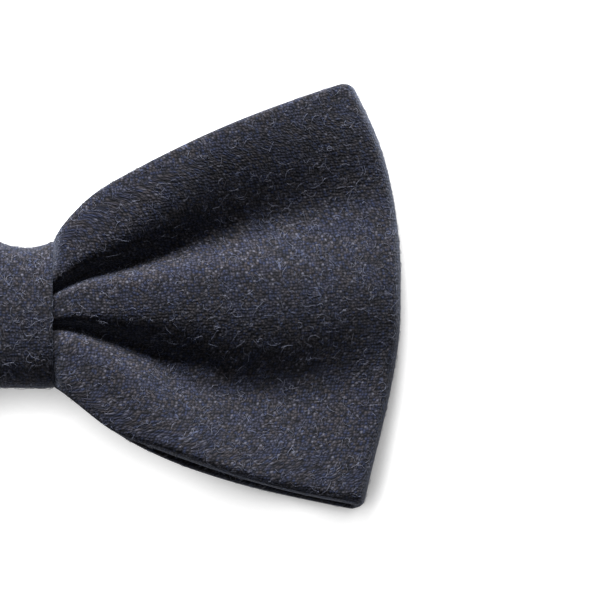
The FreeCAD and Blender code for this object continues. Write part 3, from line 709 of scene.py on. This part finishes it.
def wool_flannel(name, nub):
    material, tree, surface = new_material(name)
    cloth = node(tree, "ShaderNodeUVMap", uv_map="cloth").outputs["UV"]
    warp = node(tree, "ShaderNodeTexNoise", {"Vector": cloth, "Scale": 1 / (1.6 * MM), "Detail": 1.0},
                noise_dimensions="2D").outputs["Color"]
    push = node(tree, "ShaderNodeVectorMath", {0: warp, "Scale": 0.35 * MM}, operation="SCALE").outputs[0]
    bent = node(tree, "ShaderNodeVectorMath", {0: cloth, 1: push}, operation="ADD").outputs[0]
    cells = node(tree, "ShaderNodeTexVoronoi", {"Vector": bent, "Scale": 1 / nub, "Randomness": 0.62},
                 voronoi_dimensions="2D", feature="F1")
    dome = maths(tree, "SUBTRACT", 1.0, maths(tree, "MULTIPLY", cells.outputs["Distance"], 1.35), clamp=True)
    fleck = node(tree, "ShaderNodeSeparateColor", {"Color": cells.outputs["Color"]})
    colour = ramp(tree, fleck.outputs["Red"],
                  [(0.0, CHARCOAL), (0.30, BROWN_WOOL), (0.55, CHARCOAL), (0.75, NAVY_WOOL),
                   (0.90, BROWN_WOOL), (1.0, GREY_WOOL)])
    drift = node(tree, "ShaderNodeTexNoise", {"Vector": cloth, "Scale": 1 / (3.2 * MM), "Detail": 2.0},
                 noise_dimensions="2D").outputs["Fac"]
    bluish = maths(tree, "MULTIPLY", maths(tree, "SUBTRACT", drift, 0.47), 5.0, clamp=True)
    colour = mixed(tree, maths(tree, "MULTIPLY", bluish, 0.5), colour, (*NAVY_WOOL, 1))
    # painted shade: the colour is multiplied down towards each nub's edge, standing for shade in the pits
    # between nubs
    shade = maths(tree, "MULTIPLY_ADD", maths(tree, "POWER", dome, 1.6), 1.75, 0.10)
    painted_nub_shade_grey = node(tree, "ShaderNodeCombineColor", {"Red": shade, "Green": shade, "Blue": shade}).outputs[0]
    colour = mixed(tree, 1.0, colour, painted_nub_shade_grey, "MULTIPLY")
    height = dome
    for size, shift, thin, tint in ((1.5 * MM, 0.013, 0.012, PALE_BLUE), (1.1 * MM, 0.031, 0.012, GREY_WOOL),
                                    (0.8 * MM, 0.057, 0.014, BROWN_WOOL)):
        fibre = curly_fibres(tree, cloth, size, shift, thin)
        colour = mixed(tree, maths(tree, "MULTIPLY", fibre, 0.75), colour, (*tint, 1))
        height = maths(tree, "MAXIMUM", height, fibre)
    tree.links.new(colour, surface.inputs["Base Color"])
    bump = node(tree, "ShaderNodeBump", {"Height": height, "Strength": 0.9, "Distance": 0.10 * MM})
    tree.links.new(bump.outputs["Normal"], surface.inputs["Normal"])
    surface.inputs["Roughness"].default_value = 0.95
    surface.inputs["Specular IOR Level"].default_value = 0.15
    surface.inputs["Sheen Weight"].default_value = 0.16
    surface.inputs["Sheen Roughness"].default_value = 0.5
    surface.inputs["Sheen Tint"].default_value = (0.6, 0.68, 0.9, 1)
    return material


def dress(piece, material):
    """Gives the whole piece one material."""
    piece.data.materials.clear()
    piece.data.materials.append(material)


flannel = wool_flannel("brushed_wool_flannel", 0.49 * MM)
dress(bow_flannel, flannel)
dress(knot_flannel, flannel)


# %% [markdown]
# ## Stiffening cloth, thread and metal
#
# The stiffening is a coarse pale canvas. The thread is a dark twisted polyester. The clip is nickel-plated
# steel: bright, with fine lengthwise polishing lines and a few dull patches where fingers press it.

# %% Stiffening cloth
def stiffening_canvas(name):
    material, tree, surface = new_material(name)
    cloth = node(tree, "ShaderNodeUVMap", uv_map="cloth").outputs["UV"]
    split = node(tree, "ShaderNodeSeparateXYZ", {"Vector": cloth})
    waves = [maths(tree, "SINE", maths(tree, "MULTIPLY", split.outputs[k], 2 * math.pi / (0.5 * MM)))
             for k in ("X", "Y")]
    weave = maths(tree, "MULTIPLY", waves[0], waves[1])
    slubs = node(tree, "ShaderNodeTexNoise", {"Vector": cloth, "Scale": 1 / (0.9 * MM), "Detail": 2.0})
    height = maths(tree, "ADD", weave, slubs.outputs["Fac"])
    # partly painted shade: the colour follows the height, darker in the weave's hollows; the slub noise adds
    # the canvas's own uneven tone
    tone = ramp(tree, height, [(0.0, (0.30, 0.28, 0.23)), (1.0, (0.60, 0.57, 0.50))])
    tree.links.new(tone, surface.inputs["Base Color"])
    bump = node(tree, "ShaderNodeBump", {"Height": height, "Strength": 0.6, "Distance": 0.06 * MM})
    tree.links.new(bump.outputs["Normal"], surface.inputs["Normal"])
    surface.inputs["Roughness"].default_value = 0.9
    return material


# %% Sewing thread
def sewing_thread(name):
    material, tree, surface = new_material(name)
    place = node(tree, "ShaderNodeTexCoord").outputs["Object"]
    twist = node(tree, "ShaderNodeTexWave", {"Vector": place, "Scale": 1 / (1.3 * MM), "Distortion": 1.0,
                                             "Detail": 1.0}, bands_direction="DIAGONAL")
    # painted shade: the colour follows the twist bands of the bump, darker in the grooves between plies
    tone = ramp(tree, twist.outputs["Fac"], [(0.2, (0.008, 0.009, 0.014)), (0.9, (0.035, 0.040, 0.060))])
    tree.links.new(tone, surface.inputs["Base Color"])
    bump = node(tree, "ShaderNodeBump", {"Height": twist.outputs["Fac"], "Strength": 0.7,
                                         "Distance": 0.04 * MM})
    tree.links.new(bump.outputs["Normal"], surface.inputs["Normal"])
    surface.inputs["Roughness"].default_value = 0.55
    surface.inputs["Sheen Weight"].default_value = 0.2
    return material


# %% Nickel-plated steel
def nickel_plate(name, bright, dull, roughness, line):
    """line is the spacing of the polishing marks, which run along the bow."""
    material, tree, surface = new_material(name)
    place = node(tree, "ShaderNodeTexCoord").outputs["Object"]
    stretched = node(tree, "ShaderNodeMapping", {"Vector": place, "Scale": (0.04 / line, 1 / line, 1 / line)})
    marks = node(tree, "ShaderNodeTexNoise", {"Vector": stretched.outputs["Vector"], "Scale": 1.0,
                                              "Detail": 3.0})
    patches = node(tree, "ShaderNodeTexNoise", {"Vector": place, "Scale": 1 / (3.5 * MM), "Detail": 3.0})
    tone = ramp(tree, patches.outputs["Fac"], [(0.35, dull), (0.6, bright)])
    tree.links.new(tone, surface.inputs["Base Color"])
    rough = node(tree, "ShaderNodeMapRange", {"Value": marks.outputs["Fac"], "From Min": 0.3, "From Max": 0.7,
                                              "To Min": roughness - 0.08, "To Max": roughness + 0.12})
    tree.links.new(rough.outputs["Result"], surface.inputs["Roughness"])
    bump = node(tree, "ShaderNodeBump", {"Height": marks.outputs["Fac"], "Strength": 0.25,
                                         "Distance": 0.01 * MM})
    tree.links.new(bump.outputs["Normal"], surface.inputs["Normal"])
    surface.inputs["Metallic"].default_value = 1.0
    return material


canvas = stiffening_canvas("stiffening_canvas")
dress(bow_stiffening, canvas)
dress(knot_stiffening, canvas)
thread = sewing_thread("twisted_thread")
dress(winding, thread)
BRIGHT_NICKEL, DULL_NICKEL = (0.66, 0.64, 0.60), (0.50, 0.48, 0.45)
clip_nickel = nickel_plate("clip_nickel", BRIGHT_NICKEL, DULL_NICKEL, 0.30, 0.12 * MM)
pin_nickel = nickel_plate("pin_nickel", BRIGHT_NICKEL, DULL_NICKEL, 0.22, 0.08 * MM)
spring_steel = nickel_plate("spring_steel", (0.45, 0.44, 0.43), (0.33, 0.32, 0.31), 0.32, 0.05 * MM)
FINISHES = {"bow_end_stitches": thread, "knot_back_stitches": thread, "clip_bar": clip_nickel,
            "right_jaw": clip_nickel, "left_jaw": clip_nickel, "right_hinge_pin": pin_nickel,
            "left_hinge_pin": pin_nickel}
for piece in springs:
    dress(piece, spring_steel)
for name, finish in FINISHES.items():
    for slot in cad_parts[name].material_slots:
        slot.material = finish
print("finished", len(FINISHES), "frame pieces")

# %% [markdown]
# ## Loose fibres
#
# Brushing pulls single fibres out of the yarn. They lie curled on the face and soften its outline. Each one
# starts at a random place on the cloth and walks over it in short steps, turning a little at every step, so
# it follows every fold. A hair system would draw them too, but it would not survive as plain mesh.

# %% Loose fibres
FIBRE_RADIUS = 0.021 * MM
FIBRE_STEPS = 6
WING_FIBRES, KNOT_FIBRES = 3600, 500


def loose_wool(name):
    """Single fibres in the flannel's own dyed wools, a shade lighter because light passes through them."""
    material, tree, surface = new_material(name)
    place = node(tree, "ShaderNodeTexCoord").outputs["Object"]
    drift = node(tree, "ShaderNodeTexNoise", {"Vector": place, "Scale": 1 / (1.3 * MM), "Detail": 1.0})
    tone = ramp(tree, drift.outputs["Fac"], [(0.30, (0.045, 0.040, 0.044)), (0.45, (0.070, 0.078, 0.115)),
                                             (0.58, (0.110, 0.115, 0.150)), (0.72, (0.17, 0.19, 0.27))])
    tree.links.new(tone, surface.inputs["Base Color"])
    surface.inputs["Roughness"].default_value = 0.7
    surface.inputs["Specular IOR Level"].default_value = 0.3
    return material


def fibre_route(surface, start, normal, luck):
    """Points of one curled fibre that starts at start and keeps close to the cloth."""
    heading = normal.orthogonal().normalized()
    heading.rotate(Quaternion(normal, luck.uniform(0, 2 * math.pi)))
    curl = luck.gauss(0, 0.5)
    step = luck.uniform(0.14, 0.40) * MM
    lift = luck.uniform(0.05, 0.16) * MM
    if luck.random() < 0.12:
        step *= 1.7
        lift *= 1.6
    route, spot = [], start.copy()
    for k in range(FIBRE_STEPS):
        near, facing, _, _ = surface.find_nearest(spot)
        bow = math.sin(math.pi * (k + 0.6) / FIBRE_STEPS)
        place = near + facing * (FIBRE_RADIUS + lift * bow)
        route.append(Vector((place.x, place.y, max(place.z, FIBRE_RADIUS))))
        heading = (heading - facing * heading.dot(facing)).normalized()
        heading.rotate(Quaternion(facing, curl + luck.gauss(0, 0.25)))
        spot = near + heading * step
    return route


def fibres(name, surface, roots, count, seed):
    """A piece of count loose fibres rooted on the given (place, normal, area) roots."""
    luck = random.Random(seed)
    picks = luck.choices(roots, weights=[root[2] for root in roots], k=count)
    routes = [fibre_route(surface, place, normal, luck) for place, normal, _ in picks]
    piece = round_rope(name, routes, FIBRE_RADIUS, 0)
    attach(piece, "bow")
    return piece


wool_fibres = loose_wool("loose_wool_fibres")
for side, seed in (("right", 11), ("left", 12)):
    sign = 1 if side == "right" else -1
    wing_roots = [root for root in bow_roots if sign * root[0].x > knot_edge]
    dress(fibres(f"{side}_wing_fibres", bow_surface, wing_roots, WING_FIBRES, seed), wool_fibres)
knot_surface, knot_roots = open_faces(knot_flannel)
knot_roots = [root for root in knot_roots if root[1].dot((root[0] - knot_middle) * Vector((0, 1, 1))) > 0]
dress(fibres("knot_fibres", knot_surface, knot_roots, KNOT_FIBRES, 13), wool_fibres)

# %% [markdown]
# ## Light, table and camera
#
# The bow lies on a white table, lit mostly by one soft window-like light from beyond its upper edge, low
# enough to leave the far side of every pleat dark. A weak light overhead fills in. The table glows, and glows
# less close to the bow, which draws most of the short soft shadow. The table is only a stage.

# %% Table, light and camera
SHADOW_REACH, SHADOW_FALL, TABLE_GLOW = 8 * MM, 2.2, 1.12


def area_light(name, place, power, width, height):
    lamp = bpy.data.lights.new(name, "AREA")
    lamp.shape = "RECTANGLE"
    lamp.energy, lamp.size, lamp.size_y = power, width, height
    thing = bpy.data.objects.new(name, lamp)
    bpy.context.scene.collection.objects.link(thing)
    thing.location = place
    thing.rotation_mode = "QUATERNION"
    thing.rotation_quaternion = (-Vector(place)).to_track_quat("-Z", "Y")


def white_table():
    mesh = bmesh.new()
    bmesh.ops.create_grid(mesh, x_segments=2, y_segments=2, size=1.5)
    table = as_object(mesh, "table")
    material, tree, surface = new_material("white_paper")
    grain = node(tree, "ShaderNodeTexNoise", {"Scale": 900.0, "Detail": 2.0})
    tree.links.new(node(tree, "ShaderNodeTexCoord").outputs["Object"], grain.inputs["Vector"])
    tone = ramp(tree, grain.outputs["Fac"], [(0.3, (0.59, 0.59, 0.59)), (0.7, (0.61, 0.61, 0.61))])
    tree.links.new(tone, surface.inputs["Base Color"])
    surface.inputs["Roughness"].default_value = 0.9
    surface.inputs["Specular IOR Level"].default_value = 0.0
    surface.inputs["Emission Color"].default_value = (1, 1, 1, 1)
    open_sky = node(tree, "ShaderNodeAmbientOcclusion", {"Distance": SHADOW_REACH}, samples=8).outputs["AO"]
    glow = maths(tree, "MULTIPLY", maths(tree, "POWER", open_sky, SHADOW_FALL), TABLE_GLOW)
    tree.links.new(glow, surface.inputs["Emission Strength"])
    dress(table, material)


white_table()
area_light("window", (-0.12, 0.90, 0.41), 46, 0.5, 0.3)
area_light("overhead", (-0.1, 0.1, 1.2), 2.5, 1.2, 1.2)

world = bpy.data.worlds.new("studio")
world.use_nodes = True
world.node_tree.nodes["Background"].inputs["Color"].default_value = (1, 1, 1, 1)
world.node_tree.nodes["Background"].inputs["Strength"].default_value = 0.06
bpy.context.scene.world = world
bpy.context.scene.view_settings.view_transform = "Standard"

LENS, SENSOR_WIDTH = 200, 36
VIEW_WIDTH = 96.4 * MM
VIEW_X, VIEW_Y, VIEW_LEVEL = 43.77 * MM, -0.4 * MM, 5 * MM
camera_data = bpy.data.cameras.new("front")
camera_data.lens = LENS
camera = bpy.data.objects.new("front", camera_data)
bpy.context.scene.collection.objects.link(camera)
camera.location = (VIEW_X, VIEW_Y, VIEW_WIDTH * LENS / SENSOR_WIDTH + VIEW_LEVEL)
bpy.context.scene.camera = camera
